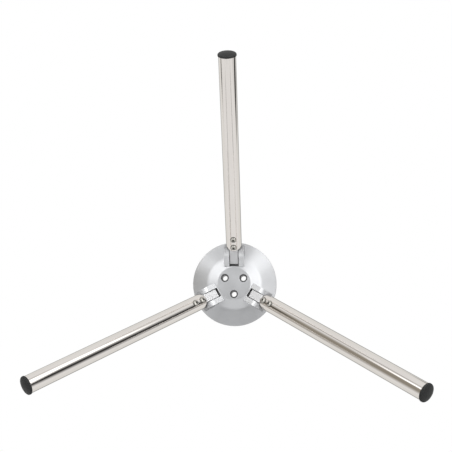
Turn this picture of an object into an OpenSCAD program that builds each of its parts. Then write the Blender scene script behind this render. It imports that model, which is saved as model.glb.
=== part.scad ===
// Folding tripod base. A turned aluminium hub carries three hinged tube legs.
// The origin is the centre of the hub's top face, and the open legs reach down from it.

/* [Hub] */
// Diameter of the hub
hub_d = 103; // [96:1:120]
// Diameter of the flat face under the hub
face_d = 40; // [37:1:41]
// Diameter at which the underside turns from shallow to steep
break_d = 64; // [58:1:74]
// Width over which that turn is rounded
break_blend = 5; // [2:0.5:8]
// Height that the shallow cone rises from the face
shallow_rise = 3.5; // [2:0.5:5]
// Height that the steep cone rises to the rim
steep_rise = 10.5; // [8:0.5:14]
// Height of the upright rim
rim_h = 4; // [3:0.5:8]
// Chamfer around the top face
rim_chamfer = 0.8; // [0.4:0.1:2]

/* [Bolt holes] */
// Diameter of the circle that the bolt holes lie on
bolt_circle_d = 26; // [22:1:28]
// Diameter of each bolt hole
bolt_hole_d = 6.6; // [4.5:0.1:7]
// Width of the countersink around each bolt hole
bolt_sink = 1.6; // [0.4:0.1:2]

/* [Clevises] */
// Distance of the ears' outer corners from the hub's rim
ear_setback = 2.8; // [0.5:0.1:3]
// Thickness of each ear
ear_t = 6.4; // [4:0.2:8]
// Height that the ears' flat faces stand proud of the tongue
ear_proud = 1; // [0.4:0.1:1.8]
// Distance that the ears' flat faces run past the pivot
ear_run = 2; // [0.5:0.5:3]
// Depth of the ears' outer wall behind their rounds
ear_waist = 0.3; // [0.2:0.1:1]
// Distance that the ears start inboard of their slot
ear_lead = 0.4; // [0.2:0.1:1]
// Gap between the slot's inner wall and the tongue as it swings
heel_gap = 2.3; // [1:0.1:2.6]
// Gap between the slot's roof and the tongue as it swings
roof_gap = 0.7; // [0.4:0.1:1.5]
// Gap between the open leg and the stop that carries it
stop_gap = 0.2; // [0.1:0.05:0.4]

/* [Pivots] */
// Diameter of the pivot pins
pin_d = 6; // [4:0.5:8]
// Depth of the pins' ends below the ears' sides
pin_inset = 0.3; // [0.1:0.1:1]
// Chamfer at the pins' ends
pin_chamfer = 0.5; // [0.2:0.1:1]
// Outer diameter of the friction washers
washer_d = 14; // [11:0.5:16]
// Thickness of the friction washers
washer_t = 0.5; // [0.3:0.1:1]
// Clearance on each side of a washer
side_clear = 0.05; // [0.02:0.01:0.1]
// Radial clearance of a pin in the tongue and in the washers
run_clear = 0.05; // [0.02:0.01:0.1]
// Radial clearance of a pressed pin or a screw in its hole
press_clear = 0.01; // [0.005:0.005:0.02]

/* [Legs] */
// Angle of the open legs below the horizontal
leg_angle = 40; // [35:1:45]
// Length of a leg from its pivot to the tube's foot end
leg_length = 252; // [160:1:400]
// Outer diameter of the tubes
tube_d = 19; // [17:0.5:20]
// Wall of the tubes
tube_wall = 1.2; // [0.8:0.1:2]
// Gap between the ears' rounds and the tube's hollowed end
cope_gap = 2.8; // [1.5:0.1:4]
// Width of the tongue between the ears
tongue_w = 10.1; // [8:0.1:12]
// Length of the tongue behind the pivot
tongue_back = 9.3; // [7.5:0.1:9.5]
// Gap between the tongue's shoulders and the tube's hollowed end
shoulder_gap = 0.2; // [0.1:0.1:0.5]
// Radial clearance of the plug in the tube
plug_clear = 0.1; // [0.05:0.05:0.3]
// Length of the plug past the outer screw
plug_beyond = 10; // [6:1:30]

/* [Leg screws] */
// Diameter of the screws' shanks
screw_d = 4; // [3:0.5:5]
// Length of the screws' shanks
screw_length = 7; // [5:0.5:8]
// Diameter of the screws' heads
head_d = 7.6; // [6.5:0.1:8.5]
// Height of the screws' heads
head_h = 2.2; // [1.8:0.1:3]
// Height of the straight side of the screws' heads
head_side = 0.4; // [0.2:0.1:1]
// Width across the flats of the hex sockets
socket_af = 2.5; // [2:0.5:3]
// Depth of the hex sockets
socket_depth = 1.3; // [0.8:0.1:1.5]
// Depth of the threaded holes past the screws' ends
thread_beyond = 1; // [0.5:0.5:1]
// Distance from the tube's end to the first screw
screw_edge = 5.4; // [5:0.1:10]
// Distance between the two screws
screw_pitch = 11; // [10:0.5:20]

/* [Foot caps] */
// Distance that a cap's rim stands out past the tube
cap_lip = 0.7; // [0.4:0.1:1.5]
// Height of the rim's straight side
cap_side = 0.9; // [0.4:0.1:3]
// Radius of the rim's rounded edge
cap_round = 1.6; // [0.8:0.1:2.5]
// Height that the cap's end is crowned
cap_crown = 1.5; // [0.6:0.1:3]
// Length of the cap inside the tube
cap_insert = 16; // [8:1:30]
// Wall of the cap inside the tube
cap_wall = 2; // [1.2:0.1:3]
// Radial clearance of the cap in the tube
cap_clear = 0.05; // [0.02:0.01:0.2]
// Depth of the grooves between the cap's ribs
cap_groove = 0.6; // [0.3:0.1:0.9]
// Distance between the cap's ribs
rib_pitch = 3; // [2:0.5:5]
// Thickness of the cap's ribs
rib_t = 1.2; // [0.6:0.1:1.6]

/* [Hidden] */
LEGS = ["a", "b", "c"];
LEG_STEP = 360 / len(LEGS);
FIRST_AZIMUTH = 90;
KINDS = ["pivot_pin", "washer_left", "washer_right", "knuckle", "leg_tube",
         "inner_screw", "outer_screw", "foot_cap"];
$fn = 64;
EPS = 0.01;
FAR = hub_d;

hub_r = hub_d / 2;
hub_h = shallow_rise + steep_rise + rim_h;
boss_h = hub_h - rim_chamfer;
pivot_z = -hub_h;
tube_r = tube_d / 2;
bore_r = tube_r - tube_wall;
ear_face = tube_r + ear_proud;
ear_r = norm([ear_run, ear_face]);
slot_w = tongue_w + 2 * (washer_t + 2 * side_clear);
clevis_w = slot_w + 2 * ear_t;
pivot_radius = sqrt(pow(hub_r - ear_setback, 2) - pow(clevis_w / 2, 2)) - ear_r;
swing_r = norm([tongue_back, tube_r]);
slot_in = swing_r + heel_gap;
slot_depth = max(tube_r, tongue_back) + roof_gap;
cope_r = ear_r + cope_gap;
plug_r = bore_r - plug_clear;
plug_recess = 2 * shoulder_gap;
screw_in = sqrt(pow(cope_r, 2) - pow(tube_r, 2)) + screw_edge;
screw_out = screw_in + screw_pitch;
plug_end = screw_out + plug_beyond;
thread_r = screw_d / 2 + press_clear;
head_r = head_d / 2;
socket_r = socket_af / 2 / cos(30);
cap_r = tube_r + cap_lip;
cap_round_in = cap_r - cap_round;
cap_rib_r = bore_r - cap_clear;
cap_core_r = cap_rib_r - cap_groove;

// Points of a rounded corner between two lines, from one end of the round to the other
function corner(before, at, after, steps = 6) =
    [for (i = [0:steps]) let (t = i / steps)
        pow(1 - t, 2) * before + 2 * t * (1 - t) * at + pow(t, 2) * after];

// Height of the hub's underside above its face, at a radius outside the face
function underside(r) = r < break_d / 2
    ? shallow_rise * (r - face_d / 2) / (break_d / 2 - face_d / 2)
    : shallow_rise + steep_rise * (r - break_d / 2) / (hub_r - break_d / 2);

function underside_point(r) = [r, underside(r)];

// Stands its children at one leg's azimuth
module at_leg(i) rotate([0, 0, FIRST_AZIMUTH + i * LEG_STEP]) children();

// Puts the origin on a leg's pivot, with X pointing away from the hub's axis
module at_pivot() translate([pivot_radius, 0, pivot_z]) children();

// Turns X down along the open leg, with -Z on the leg's underside
module along_leg() rotate([0, leg_angle, 0]) children();

// A cylinder along Y about the origin
module across(r, w) rotate([90, 0, 0]) cylinder(r = r, h = w, center = true);

// A block along X that is centred on Y
module bar(x0, x1, w, z0, z1) translate([x0, -w / 2, z0]) cube([x1 - x0, w, z1 - z0]);

module hub_turning() {
    break_r = break_d / 2;
    blend = break_blend / 2;
    translate([0, 0, -hub_h]) rotate_extrude($fn = 128) polygon(concat(
        [[0, 0], [face_d / 2, 0]],
        corner(underside_point(break_r - blend), underside_point(break_r),
               underside_point(break_r + blend)),
        [[hub_r, shallow_rise + steep_rise], [hub_r, hub_h - rim_chamfer],
         [hub_r - rim_chamfer, hub_h], [0, hub_h]]));
}

module bolt_hole() translate([bolt_circle_d / 2, 0, -hub_h]) {
    translate([0, 0, -EPS]) cylinder(d = bolt_hole_d, h = hub_h + 2 * EPS);
    translate([0, 0, -EPS])
        cylinder(r1 = bolt_hole_d / 2 + bolt_sink + EPS, r2 = bolt_hole_d / 2, h = bolt_sink + EPS);
}

// Side view of the ears: a flat face along the open leg, a round about the pivot and a wall
module ear_profile() intersection() {
    union() {
        circle(r = ear_r);
        rotate(-leg_angle) translate([-FAR, -ear_face]) square([FAR + ear_run, ear_face]);
        translate([-FAR, 0]) square([FAR + ear_r - ear_waist, boss_h]);
    }
    translate([-slot_in - ear_lead, -FAR]) square([2 * FAR, FAR + boss_h]);
}

// The raised block that one pair of ears is cut from
module clevis_block() rotate([90, 0, 0])
    linear_extrude(height = clevis_w, center = true) ear_profile();

// Room for the tongue, between a roof over the folded leg and a ramp that stops the open one
module clevis_slot() intersection() {
    bar(-slot_in, FAR, slot_w, -FAR, slot_depth);
    along_leg() bar(-FAR, FAR, 2 * slot_w, -FAR, tube_r + stop_gap);
}

module hub() color("silver") difference() {
    union() {
        hub_turning();
        for (i = [0:len(LEGS) - 1]) at_leg(i) at_pivot() clevis_block();
    }
    for (i = [0:len(LEGS) - 1]) at_leg(i) {
        at_pivot() clevis_slot();
        at_pivot() across(pin_d / 2 + press_clear, 2 * clevis_w);
        rotate([0, 0, LEG_STEP / 2]) bolt_hole();
    }
}

module pivot_pin() color("lightgray") {
    half = clevis_w / 2 - pin_inset;
    r = pin_d / 2;
    rotate([90, 0, 0]) rotate_extrude() polygon([
        [0, -half], [r - pin_chamfer, -half], [r, pin_chamfer - half],
        [r, half - pin_chamfer], [r - pin_chamfer, half], [0, half]]);
}

// side is 1 for the washer on the left of the tongue, seen from outside, and -1 for the right
module washer(side) color("ivory")
    translate([0, side * (tongue_w + washer_t + 2 * side_clear) / 2, 0])
        difference() {
            across(washer_d / 2, washer_t);
            across(pin_d / 2 + run_clear, 2 * washer_t);
        }

// The tongue, rounded behind the pivot on top and square on the underside
module tongue() {
    across(tube_r, tongue_w);
    bar(-tongue_back, 0, tongue_w, -tube_r, 0);
    intersection() {
        bar(0, cope_r, tongue_w, -tube_r, tube_r);
        across(cope_r - shoulder_gap, 2 * tongue_w);
    }
}

// The plug inside the tube, with a flat neck that joins it to the tongue
module plug() difference() {
    intersection() {
        rotate([0, 90, 0]) cylinder(r = plug_r, h = plug_end);
        union() {
            bar(0, cope_r + screw_edge, tongue_w, -tube_r, tube_r);
            difference() {
                bar(0, plug_end, tube_d, -tube_r, tube_r);
                across(cope_r + plug_recess, 2 * tube_d);
            }
        }
    }
    for (x = [screw_in, screw_out]) translate([x, 0, -tube_r])
        cylinder(r = thread_r, h = screw_length + thread_beyond);
}

module knuckle() color("silver") difference() {
    union() {
        tongue();
        plug();
    }
    across(pin_d / 2 + run_clear, 2 * tongue_w);
}

module leg_tube() color("gainsboro") difference() {
    rotate([0, 90, 0]) cylinder(r = tube_r, h = leg_length);
    rotate([0, 90, 0]) translate([0, 0, -EPS]) cylinder(r = bore_r, h = leg_length + 2 * EPS);
    across(cope_r, 2 * tube_d);
    for (x = [screw_in, screw_out]) translate([x, 0, -tube_d])
        cylinder(r = thread_r + run_clear, h = tube_d);
}

module leg_screw(x) color("silver") translate([x, 0, -tube_r]) mirror([0, 0, 1]) {
    dome_h = head_h - head_side;
    dome_r = (pow(head_r, 2) + pow(dome_h, 2)) / (2 * dome_h);
    translate([0, 0, -screw_length]) cylinder(d = screw_d, h = screw_length + EPS);
    difference() {
        intersection() {
            cylinder(r = head_r, h = head_h);
            translate([0, 0, head_h - dome_r]) sphere(r = dome_r);
        }
        translate([0, 0, head_h - socket_depth]) cylinder(r = socket_r, h = head_h, $fn = 6);
    }
}

// The crown of a foot cap, which starts where the rim's rounded edge ends
module cap_crown_shape() {
    crown_r = (pow(cap_round_in, 2) + pow(cap_crown, 2)) / (2 * cap_crown);
    intersection() {
        translate([0, 0, cap_crown - crown_r]) sphere(r = crown_r, $fn = 128);
        translate([0, 0, -cap_round]) cylinder(r = cap_round_in, h = cap_crown + 2 * cap_round);
    }
}

module foot_cap() color("#26282a") rotate([0, 90, 0]) translate([0, 0, leg_length]) {
    cylinder(r = cap_r, h = cap_side);
    translate([0, 0, cap_side]) {
        cylinder(r = cap_round_in, h = cap_round);
        rotate_extrude() intersection() {
            translate([cap_round_in, 0]) circle(r = cap_round);
            translate([cap_round_in - EPS, -EPS]) square(cap_round + 2 * EPS);
        }
        translate([0, 0, cap_round]) cap_crown_shape();
    }
    translate([0, 0, -cap_insert]) difference() {
        union() {
            cylinder(r = cap_core_r, h = cap_insert + EPS);
            for (z = [rib_pitch / 2:rib_pitch:cap_insert - rib_pitch])
                translate([0, 0, z]) cylinder(r = cap_rib_r, h = rib_t);
        }
        translate([0, 0, -EPS]) cylinder(r = cap_core_r - cap_wall, h = cap_insert - cap_wall);
    }
}

module leg_part(kind) {
    if (kind == "pivot_pin") pivot_pin();
    if (kind == "washer_left") washer(1);
    if (kind == "washer_right") washer(-1);
    along_leg() {
        if (kind == "knuckle") knuckle();
        if (kind == "leg_tube") leg_tube();
        if (kind == "inner_screw") leg_screw(screw_in);
        if (kind == "outer_screw") leg_screw(screw_out);
        if (kind == "foot_cap") foot_cap();
    }
}

hub();
for (kind = KINDS) for (i = [0:len(LEGS) - 1])
    at_leg(i) at_pivot() leg_part(kind);
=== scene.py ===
import math

import bpy
from mathutils import Matrix, Vector


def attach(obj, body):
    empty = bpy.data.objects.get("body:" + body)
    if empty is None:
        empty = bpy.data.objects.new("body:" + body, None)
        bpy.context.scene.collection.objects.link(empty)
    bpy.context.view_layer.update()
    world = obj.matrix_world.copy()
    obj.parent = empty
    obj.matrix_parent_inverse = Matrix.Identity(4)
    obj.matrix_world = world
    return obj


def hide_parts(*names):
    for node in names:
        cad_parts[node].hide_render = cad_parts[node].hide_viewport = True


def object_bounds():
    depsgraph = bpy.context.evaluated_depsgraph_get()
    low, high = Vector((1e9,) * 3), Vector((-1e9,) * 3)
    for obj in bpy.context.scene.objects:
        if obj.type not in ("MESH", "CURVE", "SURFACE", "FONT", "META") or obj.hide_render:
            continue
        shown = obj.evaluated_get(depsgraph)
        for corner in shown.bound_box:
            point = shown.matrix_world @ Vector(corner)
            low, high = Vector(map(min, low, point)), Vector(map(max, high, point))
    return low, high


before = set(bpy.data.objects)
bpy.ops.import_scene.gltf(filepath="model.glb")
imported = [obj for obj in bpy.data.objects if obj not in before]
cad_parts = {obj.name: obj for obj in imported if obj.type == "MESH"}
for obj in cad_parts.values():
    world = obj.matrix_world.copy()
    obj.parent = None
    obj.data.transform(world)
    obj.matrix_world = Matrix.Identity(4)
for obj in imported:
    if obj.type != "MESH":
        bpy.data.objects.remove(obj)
cad_low, cad_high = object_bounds()

# Sizes of the tripod base, in millimetres, and its angles in degrees
MM = 0.001
LEGS = ("a", "b", "c")
LEG_STEP = 120
FIRST_LEG = 90
FIRST_BOLT = 150
PRESS_CLEAR = 0.01
RUN_CLEAR = 0.05
CUTTER_REACH = 40
HUB_R = 51.5
HUB_H = 18
FACE_R = 20
BREAK_R = 32
BREAK_BLEND = 5
SHALLOW_RISE = 3.5
STEEP_RISE = 10.5
RIM_CHAMFER = 0.8
HUB_CENTRE_R = 1
BOLT_RING_R = 13
BOLT_HOLE_R = 3.3
BOLT_SINK = 1.6
BOLT_EDGE = 0.3
EAR_FACE = 10.5
EAR_RUN = 2
EAR_R = math.hypot(EAR_RUN, EAR_FACE)
EAR_WAIST = 0.3
EAR_WALL = EAR_R - EAR_WAIST
EAR_ROOT = 3
EAR_START = -15.995
CLEVIS_W = 24.1
SLOT_W = 11.3
SLOT_IN = 15.595
SLOT_ROOF = 10.2
PIVOT_R = 36.497
PIN_R = 3
PIN_INSET = 0.3
PIN_HALF = CLEVIS_W / 2 - PIN_INSET
PIN_CHAMFER = 0.5
CENTRE_MARK_R = 1.1
CENTRE_MARK_TIP_R = 0.3
CENTRE_MARK_DEPTH = 0.6
WASHER_R = 7
WASHER_T = 0.5
WASHER_Y = 5.35
LEG_ANGLE = 40
STOP_GAP = 0.2
TUBE_R = 9.5
BORE_R = 8.3
TUBE_END = 252
TUBE_EDGE = 0.2
TUBE_START = 4
COPE_R = 13.489
TONGUE_W = 10.1
TONGUE_BACK = 9.3
SHOULDER_R = 13.289
PLUG_R = 8.2
PLUG_START = 9
PLUG_END = 35.976
PLUG_CHAMFER = 0.8
PLUG_RELIEF = 0.4
NECK_START = 8
NECK_END = 18
NECK_HALF = 8.1
SCREWS = {"inner": 14.976, "outer": 25.976}
SCREW_R = 2
SCREW_LENGTH = 7
SCREW_TIP = 0.4
SCREW_SLACK = 0.06
THREAD_DEPTH = 8
HEAD_R = 3.8
HEAD_H = 2.2
HEAD_SIDE = 0.4
SOCKET_R = 1.25 / math.cos(math.radians(30))
SOCKET_DEPTH = 1.3
CAP_R = 10.2
CAP_SIDE = 0.9
CAP_ROUND = 1.6
CAP_CROWN = 1.5
CAP_INSERT = 16
CAP_RIB_R = 8.25
CAP_CORE_R = 7.65
CAP_WALL = 2
RIB_PITCH = 3
RIB_T = 1.2
RIB_SLOPE = 0.2


def pick(piece):
    """Selects one piece alone."""
    bpy.ops.object.select_all(action="DESELECT")
    piece.select_set(True)
    bpy.context.view_layer.objects.active = piece


def begin(name):
    """Names the primitive just added and opens it for shaping, all of it selected."""
    piece = bpy.context.object
    piece.name = name
    bpy.ops.object.mode_set(mode="EDIT")
    bpy.ops.mesh.select_all(action="SELECT")
    return piece


def end_shaping():
    """Closes seams, points every face outwards and leaves edit mode."""
    bpy.ops.mesh.select_all(action="SELECT")
    bpy.ops.mesh.remove_doubles(threshold=0.000002)
    bpy.ops.mesh.normals_make_consistent(inside=False)
    bpy.ops.object.mode_set(mode="OBJECT")


def turned(name, rings, sides=128):
    """A piece turned about Z from rings of (radius, height).

    Ending on the first ring leaves it hollow.
    """
    bpy.ops.object.select_all(action="DESELECT")
    hollow = rings[0] == rings[-1]
    radius, height = rings[0]
    bpy.ops.mesh.primitive_circle_add(
        vertices=sides, radius=radius * MM, fill_type="NOTHING" if hollow else "NGON"
    )
    piece = begin(name)
    bpy.ops.transform.translate(value=(0, 0, height * MM))
    for next_radius, next_height in rings[1:]:
        bpy.ops.mesh.extrude_region_move()
        ratio = next_radius / radius
        bpy.ops.transform.resize(value=(ratio, ratio, 1), center_override=(0, 0, 0))
        bpy.ops.transform.translate(value=(0, 0, (next_height - height) * MM))
        radius, height = next_radius, next_height
    end_shaping()
    return piece


def plate(name, outline, width):
    """A solid with that outline in X and Z and that width along Y."""
    bpy.ops.object.select_all(action="DESELECT")
    bpy.ops.mesh.primitive_circle_add(vertices=len(outline), radius=MM, fill_type="NGON")
    for vertex, (x, z) in zip(bpy.context.object.data.vertices, outline):
        vertex.co = (x * MM, -width / 2 * MM, z * MM)
    piece = begin(name)
    bpy.ops.mesh.extrude_region_move(TRANSFORM_OT_translate={"value": (0, width * MM, 0)})
    end_shaping()
    return piece


def arc(radius, first, last, steps):
    """Points of an arc about the origin, from one angle to another in degrees."""
    angles = [math.radians(first + (last - first) * i / steps) for i in range(steps + 1)]
    return [(radius * math.cos(a), radius * math.sin(a)) for a in angles]


def rod_across(name, radius, length, sides=96):
    """A round bar along Y."""
    piece = turned(name, [(radius, -length / 2), (radius, length / 2)], sides)
    settle(piece, turned_by(90, "X"))
    return piece


def turned_by(angle, axis):
    """A turn of so many degrees about an axis."""
    return Matrix.Rotation(math.radians(angle), 4, axis)


def moved_by(x=0, y=0, z=0):
    """A move of so many millimetres."""
    return Matrix.Translation((x * MM, y * MM, z * MM))


def settle(piece, place):
    """Puts a piece in its place and writes that place into its mesh."""
    pick(piece)
    piece.matrix_world = place
    bpy.ops.object.transform_apply(location=True, rotation=True, scale=True)


def combine(piece, other, operation):
    """Joins another solid to a piece, cuts it out or keeps what they share, and uses it up."""
    pick(piece)
    step = piece.modifiers.new("combine", "BOOLEAN")
    step.operation = operation
    step.solver = "EXACT"
    step.material_mode = "TRANSFER"
    step.object = other
    bpy.ops.object.modifier_apply(modifier=step.name)
    bpy.data.objects.remove(other)


def coat(piece, finish):
    """Gives a whole piece one finish."""
    piece.data.materials.clear()
    piece.data.materials.append(finish)


def round_edges(piece, width, angle=40, segments=3):
    """Rounds the edges that are sharper than an angle."""
    pick(piece)
    step = piece.modifiers.new("round", "BEVEL")
    step.width = width * MM
    step.segments = segments
    step.limit_method = "ANGLE"
    step.angle_limit = math.radians(angle)
    bpy.ops.object.modifier_apply(modifier=step.name)


def smooth(piece, angle=32):
    """Shades a piece smooth up to an angle, with its broad faces kept true."""
    pick(piece)
    bpy.ops.object.shade_smooth_by_angle(angle=math.radians(angle))
    step = piece.modifiers.new("true_faces", "WEIGHTED_NORMAL")
    step.keep_sharp = True
    step.weight = 80
    bpy.ops.object.modifier_apply(modifier=step.name)


def at_pivot(i):
    """The place of a leg's pivot, with X pointing away from the hub's axis."""
    return turned_by(FIRST_LEG + LEG_STEP * i, "Z") @ moved_by(PIVOT_R, 0, -HUB_H)


def along_leg(i):
    """The place of an open leg, with X running down it from its pivot."""
    return at_pivot(i) @ turned_by(LEG_ANGLE, "Y")


def remember_place(piece):
    """Keeps where each point lies on the piece, for patterns that follow it."""
    place = piece.data.attributes.new("piece_place", "FLOAT_VECTOR", "POINT")
    for item, vertex in zip(place.data, piece.data.vertices):
        item.vector = vertex.co


def remember_spread(piece):
    """Keeps how far each point lies from a turned piece's axis."""
    spread = piece.data.attributes.new("axis_spread", "FLOAT", "POINT")
    for item, vertex in zip(spread.data, piece.data.vertices):
        item.value = math.hypot(vertex.co.x, vertex.co.y)


def set_out(model, names, places, bodies, nodes):
    """Puts a copy of a finished model at each of its places, each copy with its own mesh."""
    remember_place(model)
    for name, place, body, node in zip(names, places, bodies, nodes):
        piece = model.copy()
        piece.data = model.data.copy()
        piece.name = name
        piece.data.name = name
        bpy.context.scene.collection.objects.link(piece)
        settle(piece, place)
        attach(piece, body)
        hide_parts(node)
    bpy.data.objects.remove(model)


def set_out_three(model, piece_name, node_name, place_of, bodies):
    """Puts a copy of a finished model on each leg or at each pivot."""
    set_out(
        model,
        [f"{piece_name}_{leg}" for leg in LEGS],
        [place_of(i) for i in range(3)],
        bodies,
        [f"{node_name}_{leg}" for leg in LEGS],
    )


# Finishes


def new_finish(name, metallic, roughness):
    """A fresh material, with its nodes and its shader."""
    finish = bpy.data.materials.new(name)
    finish.use_nodes = True
    shader = finish.node_tree.nodes["Principled BSDF"]
    shader.inputs["Metallic"].default_value = metallic
    shader.inputs["Roughness"].default_value = roughness
    return finish, finish.node_tree, shader


def place_on(tree, stretch=(1, 1, 1), follow=False):
    """Where a point lies on the object, or on its own piece, with the pattern stretched."""
    if follow:
        source = tree.nodes.new("ShaderNodeAttribute")
        source.attribute_name = "piece_place"
        place = source.outputs["Vector"]
    else:
        place = tree.nodes.new("ShaderNodeTexCoord").outputs["Object"]
    mapping = tree.nodes.new("ShaderNodeMapping")
    mapping.inputs["Scale"].default_value = stretch
    tree.links.new(place, mapping.inputs["Vector"])
    return mapping.outputs["Vector"]


def grain(tree, place, scale, detail=4, roughness=0.55):
    """A cloudy pattern, finer as the scale grows."""
    node = tree.nodes.new("ShaderNodeTexNoise")
    node.inputs["Scale"].default_value = scale
    node.inputs["Detail"].default_value = detail
    node.inputs["Roughness"].default_value = roughness
    tree.links.new(place, node.inputs["Vector"])
    return node.outputs["Fac"]


def ranged(tree, value, low, high, to_low, to_high):
    """A value that runs between two numbers, spread over two others."""
    node = tree.nodes.new("ShaderNodeMapRange")
    numbers = {"From Min": low, "From Max": high, "To Min": to_low, "To Max": to_high}
    for socket, number in numbers.items():
        node.inputs[socket].default_value = number
    tree.links.new(value, node.inputs["Value"])
    return node.outputs["Result"]


def math_of(tree, operation, first, second):
    """The result of one sum on two values."""
    node = tree.nodes.new("ShaderNodeMath")
    node.operation = operation
    for socket, value in zip(node.inputs, (first, second)):
        if isinstance(value, (int, float)):
            socket.default_value = value
        else:
            tree.links.new(value, socket)
    return node.outputs[0]


def mixed_colour(tree, share, first, second):
    """The first colour, with the second laid over it by a share."""
    node = tree.nodes.new("ShaderNodeMix")
    node.data_type = "RGBA"
    tree.links.new(share, node.inputs["Factor"])
    for socket, colour in ((node.inputs[6], first), (node.inputs[7], second)):
        if isinstance(colour, tuple):
            socket.default_value = (*colour, 1)
        else:
            tree.links.new(colour, socket)
    return node.outputs[2]


def two_tone(tree, pattern, first, second, low=0.3, high=0.7):
    """A colour that drifts between two shades as the pattern does."""
    return mixed_colour(tree, ranged(tree, pattern, low, high, 0, 1), first, second)


def edge_wear_and_highlight(tree, edge, share, colour, bare):
    """A colour that gives way to a paler one along the edges, as rubbed wear and as a painted edge
    highlight.
    """
    return mixed_colour(tree, math_of(tree, "MULTIPLY", edge, share), colour, bare)


def wire(tree, shader, colour, rough, surface):
    """Leads a finish's colour, roughness and surface direction to its shader."""
    tree.links.new(colour, shader.inputs["Base Color"])
    tree.links.new(rough, shader.inputs["Roughness"])
    tree.links.new(surface, shader.inputs["Normal"])


def relief(tree, height, depth, strength, under=None):
    """The surface direction over fine relief, in millimetres deep."""
    node = tree.nodes.new("ShaderNodeBump")
    node.inputs["Distance"].default_value = depth * MM
    node.inputs["Strength"].default_value = strength
    tree.links.new(height, node.inputs["Height"])
    if under is not None:
        tree.links.new(under, node.inputs["Normal"])
    return node.outputs["Normal"]


def shine_outward(tree, shader, amount):
    """Draws the shine of a milled face out along the leg, across the cutter's lines."""
    split = tree.nodes.new("ShaderNodeVectorMath")
    split.operation = "MULTIPLY"
    split.inputs[1].default_value = (1, 1, 0)
    tree.links.new(tree.nodes.new("ShaderNodeTexCoord").outputs["Object"], split.inputs[0])
    turn = tree.nodes.new("ShaderNodeVectorTransform")
    turn.vector_type = "VECTOR"
    turn.convert_from = "OBJECT"
    turn.convert_to = "WORLD"
    tree.links.new(split.outputs["Vector"], turn.inputs["Vector"])
    tree.links.new(turn.outputs["Vector"], shader.inputs["Tangent"])
    shader.inputs["Anisotropic"].default_value = amount


def edges_of(tree, radius):
    """The surface direction with its edges rounded, and how near an edge a point is."""
    rounded = tree.nodes.new("ShaderNodeBevel")
    rounded.samples = 4
    rounded.inputs["Radius"].default_value = radius * MM
    geometry = tree.nodes.new("ShaderNodeNewGeometry")
    match = tree.nodes.new("ShaderNodeVectorMath")
    match.operation = "DOT_PRODUCT"
    tree.links.new(rounded.outputs["Normal"], match.inputs[0])
    tree.links.new(geometry.outputs["Normal"], match.inputs[1])
    return rounded.outputs["Normal"], ranged(tree, match.outputs["Value"], 0.99, 0.85, 0, 1)


def blasted_aluminium():
    """The hub's satin, bead-blasted aluminium, its edges paler as wear and as a painted highlight.
    """
    finish, tree, shader = new_finish("blasted aluminium", 0.85, 0.33)
    place = place_on(tree)
    clouds = grain(tree, place, 45, 5)
    pits = grain(tree, place, 2600, 3, 0.6)
    rounded, edge = edges_of(tree, 0.6)
    colour = two_tone(tree, clouds, (0.475, 0.48, 0.49), (0.525, 0.53, 0.54))
    pitted = ranged(tree, pits, 0.35, 0.65, 0, 0.35)
    colour = mixed_colour(tree, pitted, colour, (0.43, 0.435, 0.445))
    # Paler edges: rubbed wear, and a painted highlight along the edges and where the ears meet the
    # dome.
    colour = edge_wear_and_highlight(tree, edge, 0.5, colour, (0.72, 0.725, 0.73))
    rough = ranged(tree, clouds, 0.3, 0.7, 0.3, 0.36)
    rough = math_of(tree, "SUBTRACT", rough, math_of(tree, "MULTIPLY", edge, 0.1))
    wire(tree, shader, colour, rough, relief(tree, pits, 0.02, 0.35, rounded))
    return finish


def ear_aluminium():
    """The ears' milled aluminium, with the cutter's fine lines across the leg, painted darker past
    the pivot as the shade under the tube, and paler edges that are wear and a painted highlight.
    """
    finish, tree, shader = new_finish("ear aluminium", 0.55, 0.36)
    axes = tree.nodes.new("ShaderNodeSeparateXYZ")
    place = place_on(tree)
    tree.links.new(place, axes.inputs[0])
    square = math_of(tree, "ADD", *(math_of(tree, "POWER", axes.outputs[axis], 2) for axis in "XY"))
    band = tree.nodes.new("ShaderNodeCombineXYZ")
    radius = math_of(tree, "POWER", square, 0.5)
    tree.links.new(radius, band.inputs["X"])
    tree.links.new(math_of(tree, "MULTIPLY", axes.outputs["Z"], 0.3), band.inputs["Z"])
    lines = grain(tree, band.outputs["Vector"], 2600, 3)
    clouds = grain(tree, place, 120, 4)
    rounded, edge = edges_of(tree, 0.4)
    colour = two_tone(tree, clouds, (0.59, 0.595, 0.605), (0.64, 0.645, 0.655))
    colour = mixed_colour(tree, ranged(tree, lines, 0.35, 0.7, 0, 0.4), colour, (0.54, 0.545, 0.55))
    # Painted shade: past the pivot the ears darken towards the tube, for the shade that the tube
    # casts there.
    tube_shade = ranged(tree, radius, (PIVOT_R - 1.5) * MM, (PIVOT_R + 3) * MM, 0, 0.62)
    colour = mixed_colour(tree, tube_shade, colour, (0.2, 0.2, 0.205))
    # Paler edges: rubbed wear, and a painted highlight for the light line where the ears meet the
    # dome.
    colour = edge_wear_and_highlight(tree, edge, 0.6, colour, (0.8, 0.8, 0.81))
    rough = ranged(tree, lines, 0.3, 0.7, 0.3, 0.42)
    wire(tree, shader, colour, rough, relief(tree, lines, 0.01, 0.25, rounded))
    shine_outward(tree, shader, 0.3)
    return finish


def bore_aluminium_painted_shade():
    """The bolt holes' cut metal, painted darker as the shade in the holes, with the drill's fine
    rings down the bore.
    """
    finish, tree, shader = new_finish("bored aluminium", 1, 0.35)
    rings = grain(tree, place_on(tree, (0.15, 0.15, 1)), 2500, 3)
    clouds = grain(tree, place_on(tree), 500, 3)
    # Painted shade: the hole's metal is coloured far darker than the hub, for the shade inside it.
    colour = two_tone(tree, rings, (0.16, 0.16, 0.165), (0.24, 0.24, 0.245), 0.35, 0.65)
    colour = mixed_colour(tree, ranged(tree, clouds, 0.4, 0.7, 0, 0.4), colour, (0.12, 0.12, 0.122))
    rough = ranged(tree, rings, 0.3, 0.7, 0.3, 0.45)
    wire(tree, shader, colour, rough, relief(tree, rings, 0.03, 0.4))
    return finish


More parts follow.
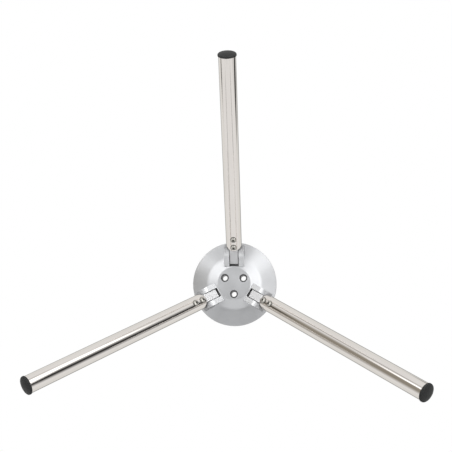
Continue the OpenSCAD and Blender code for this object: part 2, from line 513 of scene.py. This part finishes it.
def slot_aluminium_painted_shade():
    """The slots' milled walls, painted dark as the shade in the gaps, with darker greasy blotches.
    """
    finish, tree, shader = new_finish("slot aluminium", 1, 0.45)
    lines = grain(tree, place_on(tree, (1, 1, 0.1)), 1800, 3)
    grease = grain(tree, place_on(tree), 300, 4)
    # Painted shade: the walls are coloured far darker than the hub, for the shade between tongue
    # and ears.
    colour = two_tone(tree, lines, (0.22, 0.22, 0.225), (0.3, 0.3, 0.305), 0.35, 0.65)
    colour = mixed_colour(tree, ranged(tree, grease, 0.4, 0.7, 0, 0.5), colour, (0.06, 0.06, 0.06))
    rough = ranged(tree, grease, 0.3, 0.7, 0.36, 0.55)
    wire(tree, shader, colour, rough, relief(tree, lines, 0.02, 0.3))
    return finish


def socket_steel_painted_shade():
    """The insides of the screws' hex sockets, painted dark as the shade in the recess."""
    finish, tree, shader = new_finish("socket steel", 1, 0.45)
    place = place_on(tree, follow=True)
    marks = grain(tree, place, 1800, 4)
    # Painted shade: the socket's inside is coloured near black for the shade in the recess.
    colour = two_tone(tree, marks, (0.05, 0.048, 0.045), (0.12, 0.115, 0.105))
    rough = ranged(tree, marks, 0.3, 0.7, 0.35, 0.6)
    wire(tree, shader, colour, rough, relief(tree, marks, 0.02, 0.3))
    return finish


def milled_aluminium():
    """The tongues' bare aluminium, with the cutter's fine lines across the leg."""
    finish, tree, shader = new_finish("milled aluminium", 0.55, 0.38)
    place = place_on(tree, follow=True)
    lines = grain(tree, place_on(tree, (1, 0.04, 0.3), follow=True), 2200, 3)
    clouds = grain(tree, place, 160, 4)
    rounded, edge = edges_of(tree, 0.35)
    colour = two_tone(tree, clouds, (0.55, 0.55, 0.555), (0.61, 0.61, 0.615))
    colour = mixed_colour(tree, ranged(tree, lines, 0.35, 0.7, 0, 0.4), colour, (0.5, 0.5, 0.505))
    colour = edge_wear_and_highlight(tree, edge, 0.5, colour, (0.75, 0.75, 0.75))
    rough = ranged(tree, lines, 0.3, 0.7, 0.34, 0.46)
    wire(tree, shader, colour, rough, relief(tree, lines, 0.02, 0.3, rounded))
    shine_outward(tree, shader, 0.6)
    return finish


def polished_steel():
    """The tubes' polished steel, with faint drawing lines along the tube, a few rubbed spots, and
    pale edges that are wear and a painted highlight.
    """
    finish, tree, shader = new_finish("polished steel", 1, 0.06)
    drawn = grain(tree, place_on(tree, (0.012, 1, 1), follow=True), 1500, 3)
    smears = grain(tree, place_on(tree, (0.3, 1, 1), follow=True), 60, 4)
    rounded, edge = edges_of(tree, 0.25)
    colour = two_tone(tree, smears, (0.70, 0.665, 0.635), (0.735, 0.705, 0.675))
    colour = mixed_colour(tree, ranged(tree, drawn, 0.45, 0.75, 0, 0.3), colour, (0.66, 0.62, 0.59))
    # Paler edges: wear, and a painted highlight in place of the shine of rounded edges.
    colour = edge_wear_and_highlight(tree, edge, 0.4, colour, (0.85, 0.84, 0.83))
    rough = ranged(tree, smears, 0.35, 0.75, 0.05, 0.1)
    rough = math_of(tree, "ADD", rough, ranged(tree, drawn, 0.5, 0.8, 0, 0.05))
    wire(tree, shader, colour, rough, relief(tree, drawn, 0.001, 0.1, rounded))
    return finish


def screw_steel():
    """The button screws' plain steel, with painted shade in a dark ring round the outer rim of the
    head.
    """
    finish, tree, shader = new_finish("screw steel", 1, 0.2)
    place = place_on(tree, follow=True)
    turned_marks = grain(tree, place, 900, 4)
    rounded, edge = edges_of(tree, 0.15)
    colour = two_tone(tree, turned_marks, (0.42, 0.405, 0.37), (0.52, 0.505, 0.47))
    # Painted shade: the outer rim of the head is darkened, for the shade where the head meets the
    # tube.
    spread = tree.nodes.new("ShaderNodeAttribute")
    spread.attribute_name = "axis_spread"
    rim = ranged(tree, spread.outputs["Fac"], (HEAD_R - 0.75) * MM, (HEAD_R - 0.3) * MM, 0, 0.9)
    colour = mixed_colour(tree, rim, colour, (0.05, 0.048, 0.043))
    colour = edge_wear_and_highlight(tree, edge, 0.4, colour, (0.7, 0.69, 0.67))
    rough = ranged(tree, turned_marks, 0.3, 0.7, 0.18, 0.3)
    wire(tree, shader, colour, rough, relief(tree, turned_marks, 0.01, 0.2, rounded))
    return finish


def pin_steel():
    """The pins' ground steel, with fine rings round them."""
    finish, tree, shader = new_finish("pin steel", 1, 0.25)
    rings = grain(tree, place_on(tree, (0.1, 0.1, 1), follow=True), 3000, 2)
    clouds = grain(tree, place_on(tree, follow=True), 400, 4)
    rounded, edge = edges_of(tree, 0.2)
    colour = two_tone(tree, clouds, (0.5, 0.5, 0.5), (0.58, 0.58, 0.575))
    colour = edge_wear_and_highlight(tree, edge, 0.5, colour, (0.8, 0.8, 0.79))
    rough = ranged(tree, rings, 0.3, 0.7, 0.18, 0.34)
    wire(tree, shader, colour, rough, relief(tree, rings, 0.01, 0.25, rounded))
    return finish


def washer_plastic():
    """The washers' dark low-friction plastic."""
    finish, tree, shader = new_finish("washer plastic", 0, 0.5)
    mottle = grain(tree, place_on(tree, follow=True), 1200, 5)
    colour = two_tone(tree, mottle, (0.018, 0.018, 0.02), (0.032, 0.032, 0.034))
    rough = ranged(tree, mottle, 0.3, 0.7, 0.42, 0.6)
    wire(tree, shader, colour, rough, relief(tree, mottle, 0.01, 0.3))
    return finish


def cap_rubber():
    """The feet's black moulded rubber, finely grained and rubbed paler where it stands."""
    finish, tree, shader = new_finish("cap rubber", 0, 0.55)
    shader.inputs["Specular IOR Level"].default_value = 0.25
    place = place_on(tree, follow=True)
    pores = grain(tree, place, 1900, 4, 0.6)
    bloom = grain(tree, place, 140, 5)
    rounded, edge = edges_of(tree, 0.8)
    colour = two_tone(tree, bloom, (0.009, 0.0095, 0.0095), (0.015, 0.0155, 0.0155))
    colour = mixed_colour(tree, ranged(tree, pores, 0.55, 0.75, 0, 0.4), colour, (0.03, 0.03, 0.03))
    colour = edge_wear_and_highlight(tree, edge, 0.35, colour, (0.04, 0.04, 0.039))
    rough = ranged(tree, bloom, 0.3, 0.7, 0.45, 0.62)
    wire(tree, shader, colour, rough, relief(tree, pores, 0.05, 0.35))
    return finish


# The hub


def underside(radius):
    """Depth of the hub's underside at a radius outside its face."""
    if radius < BREAK_R:
        return -HUB_H + SHALLOW_RISE * (radius - FACE_R) / (BREAK_R - FACE_R)
    return -HUB_H + SHALLOW_RISE + STEEP_RISE * (radius - BREAK_R) / (HUB_R - BREAK_R)


def make_hub():
    """The turned dome with its blended break, rounded rim and flat top, before anything is cut."""
    steps = 8
    before, after = BREAK_R - BREAK_BLEND / 2, BREAK_R + BREAK_BLEND / 2
    blend = []
    for i in range(steps + 1):
        t = i / steps
        shares = ((1 - t) ** 2, 2 * t * (1 - t), t**2)
        radius = shares[0] * before + shares[1] * BREAK_R + shares[2] * after
        depth = (
            shares[0] * underside(before)
            + shares[1] * underside(BREAK_R)
            + shares[2] * underside(after)
        )
        blend.append((radius, depth))
    rim_z = -HUB_H + SHALLOW_RISE + STEEP_RISE
    rings = [(HUB_CENTRE_R, -HUB_H), (FACE_R - 0.15, -HUB_H)]
    rings += [(FACE_R + 0.12, underside(FACE_R + 0.12))]
    rings += blend
    rings += [(HUB_R - 0.4, underside(HUB_R - 0.4)), (HUB_R - 0.1, rim_z + 0.02)]
    rings += [(HUB_R, rim_z + 0.3), (HUB_R, -RIM_CHAMFER - 0.15)]
    rings += [(HUB_R - 0.06, -RIM_CHAMFER + 0.05), (HUB_R - RIM_CHAMFER + 0.05, -0.06)]
    rings += [(HUB_R - RIM_CHAMFER - 0.15, 0), (HUB_CENTRE_R, 0)]
    return turned("hub_turning", rings, 192)


def ear_block():
    """The block of a pair of ears: a flat along the open leg, a round at the pivot and a wall."""
    slope = math.radians(-LEG_ANGLE)
    crease = math.degrees(math.atan2(-EAR_FACE, EAR_RUN)) - LEG_ANGLE
    wall = math.degrees(math.acos(EAR_WALL / EAR_R))
    flat_start = (EAR_START + EAR_FACE * math.sin(-slope)) / math.cos(slope)
    start_z = flat_start * math.sin(slope) - EAR_FACE * math.cos(slope)
    outline = [(EAR_START, start_z)] + arc(EAR_R, crease, wall, 40)
    outline += [(EAR_WALL, HUB_H - EAR_ROOT), (EAR_START, HUB_H - EAR_ROOT)]
    block = plate("ear_block", outline, CLEVIS_W)
    round_edges(block, 0.35, 35, 3)
    return block


def tongue_slot():
    """What is cut out between the ears: a slot with a roof, and a ramp that stops the open leg."""
    ramp = (TUBE_R + STOP_GAP) / math.cos(math.radians(LEG_ANGLE))
    slope = math.tan(math.radians(-LEG_ANGLE))
    meets = (SLOT_ROOF - ramp) / slope
    outline = [(-SLOT_IN, -CUTTER_REACH), (CUTTER_REACH, -CUTTER_REACH)]
    outline += [(CUTTER_REACH, ramp + slope * CUTTER_REACH)]
    outline += [(meets, SLOT_ROOF), (-SLOT_IN, SLOT_ROOF)]
    return plate("tongue_slot", outline, SLOT_W)


def bolt_drill():
    """A bolt hole with its countersink, and a light break of the edge at the top face."""
    rings = [(BOLT_HOLE_R + BOLT_SINK + 0.5, -HUB_H - 0.5), (BOLT_HOLE_R, -HUB_H + BOLT_SINK)]
    rings += [(BOLT_HOLE_R, -BOLT_EDGE), (BOLT_HOLE_R + 2 * BOLT_EDGE, BOLT_EDGE)]
    return turned("bolt_drill", rings, 64)


def finish_hub():
    """The hub, with its ears joined on and its slots, pin bores and bolt holes cut."""
    hub = make_hub()
    blasted, milled = blasted_aluminium(), ear_aluminium()
    # The bolt holes, slots and pin bores get finishes painted dark as the shade inside them.
    bored, cut = bore_aluminium_painted_shade(), slot_aluminium_painted_shade()
    coat(hub, blasted)
    for i in range(3):
        block = ear_block()
        coat(block, milled)
        settle(block, at_pivot(i))
        combine(hub, block, "UNION")
    for i in range(3):
        slot = tongue_slot()
        coat(slot, cut)
        settle(slot, at_pivot(i))
        combine(hub, slot, "DIFFERENCE")
        bore = rod_across("pin_bore", PIN_R + PRESS_CLEAR, 2 * CLEVIS_W, 64)
        coat(bore, cut)
        settle(bore, at_pivot(i))
        combine(hub, bore, "DIFFERENCE")
        drill = bolt_drill()
        coat(drill, bored)
        settle(drill, turned_by(FIRST_BOLT + LEG_STEP * i, "Z") @ moved_by(BOLT_RING_R))
        combine(hub, drill, "DIFFERENCE")
    smooth(hub, 28)
    set_out(hub, ["hub_casting"], [Matrix()], ["hub_body"], ["hub"])


def finish_pins():
    """Pins with chamfered ends and a centre mark in each."""
    end = [(CENTRE_MARK_TIP_R, PIN_HALF - CENTRE_MARK_DEPTH), (CENTRE_MARK_R, PIN_HALF)]
    end += [(PIN_R - PIN_CHAMFER, PIN_HALF), (PIN_R, PIN_HALF - PIN_CHAMFER)]
    rings = [(radius, -height) for radius, height in end] + end[::-1]
    pin = turned("hinge_pin", rings, 64)
    coat(pin, pin_steel())
    smooth(pin, 30)
    settle(pin, turned_by(90, "X"))
    set_out_three(pin, "hinge_pin", "pivot_pin", at_pivot, ["hub_body"] * 3)


def finish_washers():
    """Thin washers with softened edges, one on each side of a tongue."""
    half, inner, bore_edge, rim_edge = WASHER_T / 2, PIN_R + RUN_CLEAR, 0.08, 0.12
    face = [(inner, half - bore_edge), (inner + bore_edge, half)]
    face += [(WASHER_R - rim_edge, half), (WASHER_R, half - rim_edge)]
    rings = [(radius, -height) for radius, height in face] + face[::-1]
    finish = washer_plastic()
    for side, y in (("left", WASHER_Y), ("right", -WASHER_Y)):
        washer = turned("friction_washer", rings + rings[:1], 96)
        coat(washer, finish)
        smooth(washer, 30)
        settle(washer, moved_by(0, y, 0) @ turned_by(90, "X"))
        name, node = f"friction_washer_{side}", f"washer_{side}"
        set_out_three(washer, name, node, at_pivot, ["hub_body"] * 3)


# The legs


def finish_leg_piece(model, piece_name, node_name):
    """Puts a copy of a finished model on each leg, to turn with it."""
    set_out_three(model, piece_name, node_name, along_leg, [f"leg_{leg}" for leg in LEGS])


def finish_knuckles():
    """The tongue between the ears, and the plug that it carries inside the tube."""
    shoulder = math.degrees(math.asin(TUBE_R / SHOULDER_R))
    back = math.degrees(math.acos(-TONGUE_BACK / TUBE_R))
    outline = [(-TONGUE_BACK, -TUBE_R)] + arc(SHOULDER_R, -shoulder, shoulder, 24)
    outline += arc(TUBE_R, 90, back, 20)
    tongue = plate("tongue", outline, TONGUE_W)
    round_edges(tongue, 0.35, 35, 3)
    rings = [(PLUG_R, PLUG_START), (PLUG_R, PLUG_END - PLUG_CHAMFER)]
    rings += [(PLUG_R - PLUG_CHAMFER, PLUG_END)]
    plug = turned("plug", rings, 96)
    settle(plug, turned_by(90, "Y"))
    recess = rod_across("plug_recess", COPE_R + PLUG_RELIEF, CUTTER_REACH, 128)
    combine(plug, recess, "DIFFERENCE")
    neck = [(NECK_START, -NECK_HALF), (NECK_END, -NECK_HALF)]
    neck += [(NECK_END, NECK_HALF), (NECK_START, NECK_HALF)]
    web = plate("neck", neck, TONGUE_W)
    barrel = turned("neck_barrel", [(PLUG_R, NECK_START - 2), (PLUG_R, NECK_END + 2)], 96)
    settle(barrel, turned_by(90, "Y"))
    combine(web, barrel, "INTERSECT")
    combine(plug, web, "UNION")
    combine(tongue, plug, "UNION")
    for x in SCREWS.values():
        radius = SCREW_R + PRESS_CLEAR
        hole = turned("thread", [(radius, -TUBE_R - 1), (radius, -TUBE_R + THREAD_DEPTH)], 48)
        settle(hole, moved_by(x))
        combine(tongue, hole, "DIFFERENCE")
    combine(tongue, rod_across("pin_hole", PIN_R + RUN_CLEAR, 2 * TONGUE_W, 64), "DIFFERENCE")
    coat(tongue, milled_aluminium())
    smooth(tongue, 30)
    finish_leg_piece(tongue, "tongue_and_plug", "knuckle")


def finish_tubes():
    """Thin tubes, hollowed at the hub end to clear the ears and drilled for two screws."""
    rings = [(BORE_R, TUBE_START), (TUBE_R, TUBE_START)]
    rings += [(TUBE_R, TUBE_END - TUBE_EDGE), (TUBE_R - TUBE_EDGE, TUBE_END)]
    rings += [(BORE_R + 0.15, TUBE_END), (BORE_R, TUBE_END - 0.15), (BORE_R, TUBE_START)]
    tube = turned("polished_tube", rings, 256)
    settle(tube, turned_by(90, "Y"))
    combine(tube, rod_across("cope", COPE_R, CUTTER_REACH, 256), "DIFFERENCE")
    for x in SCREWS.values():
        radius = SCREW_R + SCREW_SLACK
        drill = turned("screw_hole", [(radius, -TUBE_R - 5), (radius, 0)], 48)
        settle(drill, moved_by(x))
        combine(tube, drill, "DIFFERENCE")
    coat(tube, polished_steel())
    smooth(tube, 30)
    finish_leg_piece(tube, "polished_tube", "leg_tube")


def finish_screws():
    """Button-head screws with hex sockets, heads down under the tube."""
    dome_h = HEAD_H - HEAD_SIDE
    dome_r = (HEAD_R**2 + dome_h**2) / (2 * dome_h)
    rings = [(SCREW_R - SCREW_TIP, -SCREW_LENGTH), (SCREW_R, -SCREW_LENGTH + SCREW_TIP)]
    rings += [(SCREW_R, 0)]
    rings += [(HEAD_R - 0.15, 0), (HEAD_R, 0.12), (HEAD_R, HEAD_SIDE - 0.05)]
    for i in range(1, 10):
        radius = HEAD_R * (1 - i / 10)
        rings.append((radius, HEAD_H - dome_r + math.sqrt(dome_r**2 - radius**2)))
    finish, socket = screw_steel(), socket_steel_painted_shade()
    for name, x in SCREWS.items():
        screw = turned("button_screw", rings, 64)
        coat(screw, finish)
        tip = [(SOCKET_R * 0.55, HEAD_H - SOCKET_DEPTH), (SOCKET_R, HEAD_H - SOCKET_DEPTH + 0.25)]
        key = turned("hex_key", tip + [(SOCKET_R, HEAD_H + 1)], 6)
        coat(key, socket)
        combine(screw, key, "DIFFERENCE")
        smooth(screw, 35)
        remember_spread(screw)
        settle(screw, moved_by(x, 0, -TUBE_R) @ turned_by(180, "X"))
        finish_leg_piece(screw, f"button_screw_{name}", f"{name}_screw")


def finish_caps():
    """Rubber feet: a crowned end with a rounded rim, and a ribbed skirt inside the tube."""
    crown_edge = CAP_R - CAP_ROUND
    crown_r = (crown_edge**2 + CAP_CROWN**2) / (2 * CAP_CROWN)
    top = CAP_SIDE + CAP_ROUND
    rings = []
    for i in range(1, 9):
        radius = crown_edge * i / 8
        rings.append((radius, top + CAP_CROWN - crown_r + math.sqrt(crown_r**2 - radius**2)))
    for x, y in arc(CAP_ROUND, 75, 0, 8):
        rings.append((crown_edge + x, CAP_SIDE + y))
    rings += [(CAP_R, 0.15), (CAP_R - 0.15, 0), (CAP_CORE_R, 0)]
    ribs = int((CAP_INSERT - RIB_PITCH - RIB_PITCH / 2) / RIB_PITCH) + 1
    for i in reversed(range(ribs)):
        low = -CAP_INSERT + RIB_PITCH / 2 + i * RIB_PITCH
        rings += [(CAP_CORE_R, low + RIB_T), (CAP_RIB_R, low + RIB_T - RIB_SLOPE)]
        rings += [(CAP_RIB_R, low + RIB_SLOPE), (CAP_CORE_R, low)]
    hollow_r = CAP_CORE_R - CAP_WALL
    rings += [(CAP_CORE_R, -CAP_INSERT), (hollow_r, -CAP_INSERT), (hollow_r, -CAP_WALL)]
    cap = turned("rubber_foot", [(0.2, rings[0][1])] + rings + [(0.2, -CAP_WALL)], 96)
    coat(cap, cap_rubber())
    smooth(cap, 35)
    settle(cap, turned_by(90, "Y") @ moved_by(0, 0, TUBE_END))
    finish_leg_piece(cap, "rubber_foot", "foot_cap")


# The studio


MIDDLE = Vector((0, 0, -0.1))


def lay_floor():
    """A plain pale floor that fades into the surround, clear from below and to the lamps there."""
    bpy.ops.object.select_all(action="DESELECT")
    bpy.ops.mesh.primitive_circle_add(
        vertices=128, radius=30, fill_type="NGON", location=(0, 0, cad_low.z - 0.0002)
    )
    floor = bpy.context.object
    floor.name = "studio_floor"
    finish = bpy.data.materials.new("pale floor")
    finish.use_nodes = True
    tree = finish.node_tree
    tree.nodes.clear()
    output = tree.nodes.new("ShaderNodeOutputMaterial")
    paint = tree.nodes.new("ShaderNodeBsdfDiffuse")
    paint.inputs["Color"].default_value = (0.86, 0.86, 0.86, 1)
    far = tree.nodes.new("ShaderNodeEmission")
    far.inputs["Color"].default_value = (1, 1, 1, 1)
    reach = tree.nodes.new("ShaderNodeVectorMath")
    reach.operation = "LENGTH"
    tree.links.new(tree.nodes.new("ShaderNodeTexCoord").outputs["Object"], reach.inputs[0])
    spread = tree.nodes.new("ShaderNodeMixShader")
    tree.links.new(ranged(tree, reach.outputs["Value"], 0.25, 1.6, 0, 1), spread.inputs["Fac"])
    tree.links.new(paint.outputs[0], spread.inputs[1])
    tree.links.new(far.outputs[0], spread.inputs[2])
    clear = tree.nodes.new("ShaderNodeBsdfTransparent")
    mix = tree.nodes.new("ShaderNodeMixShader")
    behind = tree.nodes.new("ShaderNodeNewGeometry").outputs["Backfacing"]
    shadow = tree.nodes.new("ShaderNodeLightPath").outputs["Is Shadow Ray"]
    tree.links.new(math_of(tree, "MAXIMUM", behind, shadow), mix.inputs["Fac"])
    tree.links.new(spread.outputs[0], mix.inputs[1])
    tree.links.new(clear.outputs[0], mix.inputs[2])
    tree.links.new(mix.outputs[0], output.inputs["Surface"])
    floor.data.materials.append(finish)
    floor.visible_glossy = False
    floor.visible_diffuse = False


def light_world():
    """White for the camera, a soft grey band overhead for reflections, and an even light else."""
    world = bpy.data.worlds.new("white studio")
    bpy.context.scene.world = world
    world.use_nodes = True
    tree = world.node_tree
    tree.nodes.clear()
    output = tree.nodes.new("ShaderNodeOutputWorld")
    soft = tree.nodes.new("ShaderNodeBackground")
    soft.inputs["Color"].default_value = (0.97, 0.98, 1, 1)
    soft.inputs["Strength"].default_value = 0.45
    white = tree.nodes.new("ShaderNodeBackground")
    white.inputs["Color"].default_value = (1, 1, 1, 1)
    axes = tree.nodes.new("ShaderNodeSeparateXYZ")
    tree.links.new(tree.nodes.new("ShaderNodeTexCoord").outputs["Generated"], axes.inputs[0])
    bands = tree.nodes.new("ShaderNodeValToRGB")
    bands.color_ramp.interpolation = "EASE"
    stops = bands.color_ramp.elements
    stops[0].position, stops[0].color = 0.1, (1, 1, 1, 1)
    stops[1].position, stops[1].color = 1, (0.9, 0.9, 0.9, 1)
    shades = {0.4: 0.96, 0.65: 0.94, 0.77: 0.85, 0.83: 0.4, 0.93: 0.4, 0.97: 0.85}
    for height, shade in shades.items():
        stops.new(height).color = (shade, shade, shade * 0.98, 1)
    tree.links.new(axes.outputs["Z"], bands.inputs["Fac"])
    mirrored = tree.nodes.new("ShaderNodeBackground")
    tree.links.new(bands.outputs["Color"], mirrored.inputs["Color"])
    path = tree.nodes.new("ShaderNodeLightPath")
    seen, through = path.outputs["Is Camera Ray"], path.outputs["Is Transmission Ray"]
    clear = math_of(tree, "MAXIMUM", seen, through)
    near = tree.nodes.new("ShaderNodeMixShader")
    tree.links.new(path.outputs["Is Glossy Ray"], near.inputs["Fac"])
    tree.links.new(soft.outputs[0], near.inputs[1])
    tree.links.new(mirrored.outputs[0], near.inputs[2])
    mix = tree.nodes.new("ShaderNodeMixShader")
    tree.links.new(clear, mix.inputs["Fac"])
    tree.links.new(near.outputs[0], mix.inputs[1])
    tree.links.new(white.outputs[0], mix.inputs[2])
    tree.links.new(mix.outputs[0], output.inputs["Surface"])


def toward(azimuth, polar, distance):
    """A point that far from the base's middle.

    The degrees are from -X towards +Y and from straight below.
    """
    a, p = math.radians(azimuth), math.radians(polar)
    way = Vector((-math.cos(a) * math.sin(p), math.sin(a) * math.sin(p), -math.cos(p)))
    return way * distance + MIDDLE


def facing(place, aim):
    """The place of something there whose front faces a point."""
    return Matrix.Translation(place) @ (aim - place).to_track_quat("-Z", "Y").to_matrix().to_4x4()


def hang_lamp(name, place, width, height, radiance):
    """A soft box lamp that faces the base."""
    lamp = bpy.data.lights.new(name, "AREA")
    lamp.shape = "RECTANGLE"
    lamp.size = width
    lamp.size_y = height
    lamp.energy = radiance * math.pi * width * height
    holder = bpy.data.objects.new(name, lamp)
    bpy.context.scene.collection.objects.link(holder)
    holder.matrix_world = facing(place, MIDDLE)
    holder.visible_camera = False
    holder.visible_glossy = False


def hang_card(name, place, width, height, colour, soft_sides, soft_ends):
    """A card that shows in reflections alone, and fades out over so much at its sides and ends."""
    bpy.ops.object.select_all(action="DESELECT")
    bpy.ops.mesh.primitive_plane_add(size=1)
    card = bpy.context.object
    card.name = name
    finish = bpy.data.materials.new(name)
    finish.use_nodes = True
    tree = finish.node_tree
    tree.nodes.clear()
    output = tree.nodes.new("ShaderNodeOutputMaterial")
    clear = tree.nodes.new("ShaderNodeBsdfTransparent")
    paint = tree.nodes.new("ShaderNodeEmission")
    paint.inputs["Color"].default_value = (*colour, 1)
    axes = tree.nodes.new("ShaderNodeSeparateXYZ")
    tree.links.new(tree.nodes.new("ShaderNodeTexCoord").outputs["Object"], axes.inputs[0])
    shares = []
    for axis, size, soft in (("X", width, soft_sides), ("Y", height, soft_ends)):
        reach = math_of(tree, "ABSOLUTE", axes.outputs[axis], 0)
        shares.append(ranged(tree, reach, size / 2 - soft, size / 2, 1, 0))
    share = math_of(tree, "MULTIPLY", *shares)
    mix = tree.nodes.new("ShaderNodeMixShader")
    tree.links.new(share, mix.inputs["Fac"])
    tree.links.new(clear.outputs[0], mix.inputs[1])
    tree.links.new(paint.outputs[0], mix.inputs[2])
    tree.links.new(mix.outputs[0], output.inputs["Surface"])
    card.data.materials.append(finish)
    settle(card, Matrix.Diagonal((width, height, 1, 1)))
    card.matrix_world = facing(place, MIDDLE)
    card.visible_camera = False
    card.visible_diffuse = False
    card.visible_transmission = False
    card.visible_shadow = False


def set_camera():
    """The camera under the base, looking up along its axis."""
    sensor, focal_length, image_width = 36, 796.22, 452
    camera = bpy.data.cameras.new("camera")
    camera.sensor_width = sensor
    camera.lens = sensor * focal_length / image_width
    camera.clip_start = 0.05
    camera.clip_end = 20
    holder = bpy.data.objects.new("camera", camera)
    bpy.context.scene.collection.objects.link(holder)
    bpy.context.scene.camera = holder
    right = Vector((-0.997387, 0.012825, 0.071092))
    up = Vector((0.00323, 0.991047, -0.133472))
    back = right.cross(up).normalized()
    up = back.cross(right).normalized()
    turn = Matrix((right, up, back)).transposed().to_4x4()
    holder.matrix_world = Matrix.Translation((-0.05992, -0.05966, -0.98432)) @ turn


finish_hub()
finish_pins()
finish_washers()
finish_knuckles()
finish_tubes()
finish_screws()
finish_caps()
lay_floor()
light_world()
hang_lamp("top_box", Vector((0.9, -1.2, 2.2)), 2.0, 2.0, 3.4)
hang_lamp("under_lamp_right", toward(42, 45, 1.4), 0.8, 0.8, 8)
hang_lamp("under_lamp_left", toward(137, 45, 1.4), 0.8, 0.8, 7.5)
hang_card("grey_card_below", toward(0, 0, 2.55), 1.5, 1.5, (0.5, 0.5, 0.5), 0.5, 0.5)
hang_card("pale_card_low", toward(270, 30, 2.5), 2.2, 0.7, (1.35, 1.35, 1.35), 0.5, 0.25)
hang_card("bright_card_right", toward(16, 42, 2.5), 3.4, 1.8, (2.5, 2.5, 2.5), 0.6, 0.35)
hang_card("bright_card_left", toward(139, 41, 2.5), 2.4, 1.9, (2.2, 2.2, 2.2), 0.6, 0.4)
hang_card("bright_strip_right", toward(50, 58, 2.45), 1.5, 1.4, (2.2, 2.2, 2.2), 0.4, 0.25)
hang_card("bright_strip_left", toward(142, 58, 2.45), 0.8, 1.4, (2.1, 2.1, 2.1), 0.35, 0.25)
hang_card("dark_card_right", toward(4, 76, 2.6), 3.0, 2.1, (0.04, 0.04, 0.04), 1.24, 0.2)
hang_card("brown_card_left", toward(171, 83, 2.6), 3.8, 2.1, (0.36, 0.33, 0.28), 1.35, 0.2)
hang_card("grey_card_right_high", toward(63, 83, 2.4), 0.7, 0.8, (0.5, 0.49, 0.47), 0.25, 0.25)
hang_card("grey_card_right_low", toward(78, 68, 2.4), 0.6, 0.9, (0.56, 0.55, 0.53), 0.25, 0.25)
hang_card("grey_card_left", toward(124, 80, 2.4), 0.6, 1.2, (0.5, 0.485, 0.47), 0.25, 0.3)
hang_card("dark_card_low", toward(272, 50, 2.4), 3.4, 0.5, (0.0, 0.0, 0.0), 0.6, 0.18)
hang_card("thin_card_left", toward(239, 73, 2.45), 0.22, 0.9, (0.2, 0.2, 0.2), 0.1, 0.1)
hang_card("thin_card_right", toward(309, 76, 2.45), 0.22, 0.9, (0.2, 0.2, 0.2), 0.1, 0.1)
near_right, near_left = Vector((-0.36, 0.17, 0.02)), Vector((0.369, 0.087, -0.1))
hang_card("near_card_right", near_right, 0.32, 0.22, (0.02, 0.02, 0.02), 0.09, 0.07)
hang_card("near_card_left", near_left, 0.13, 0.11, (0.03, 0.03, 0.03), 0.05, 0.05)
set_camera()
bpy.context.scene.view_settings.view_transform = "Standard"
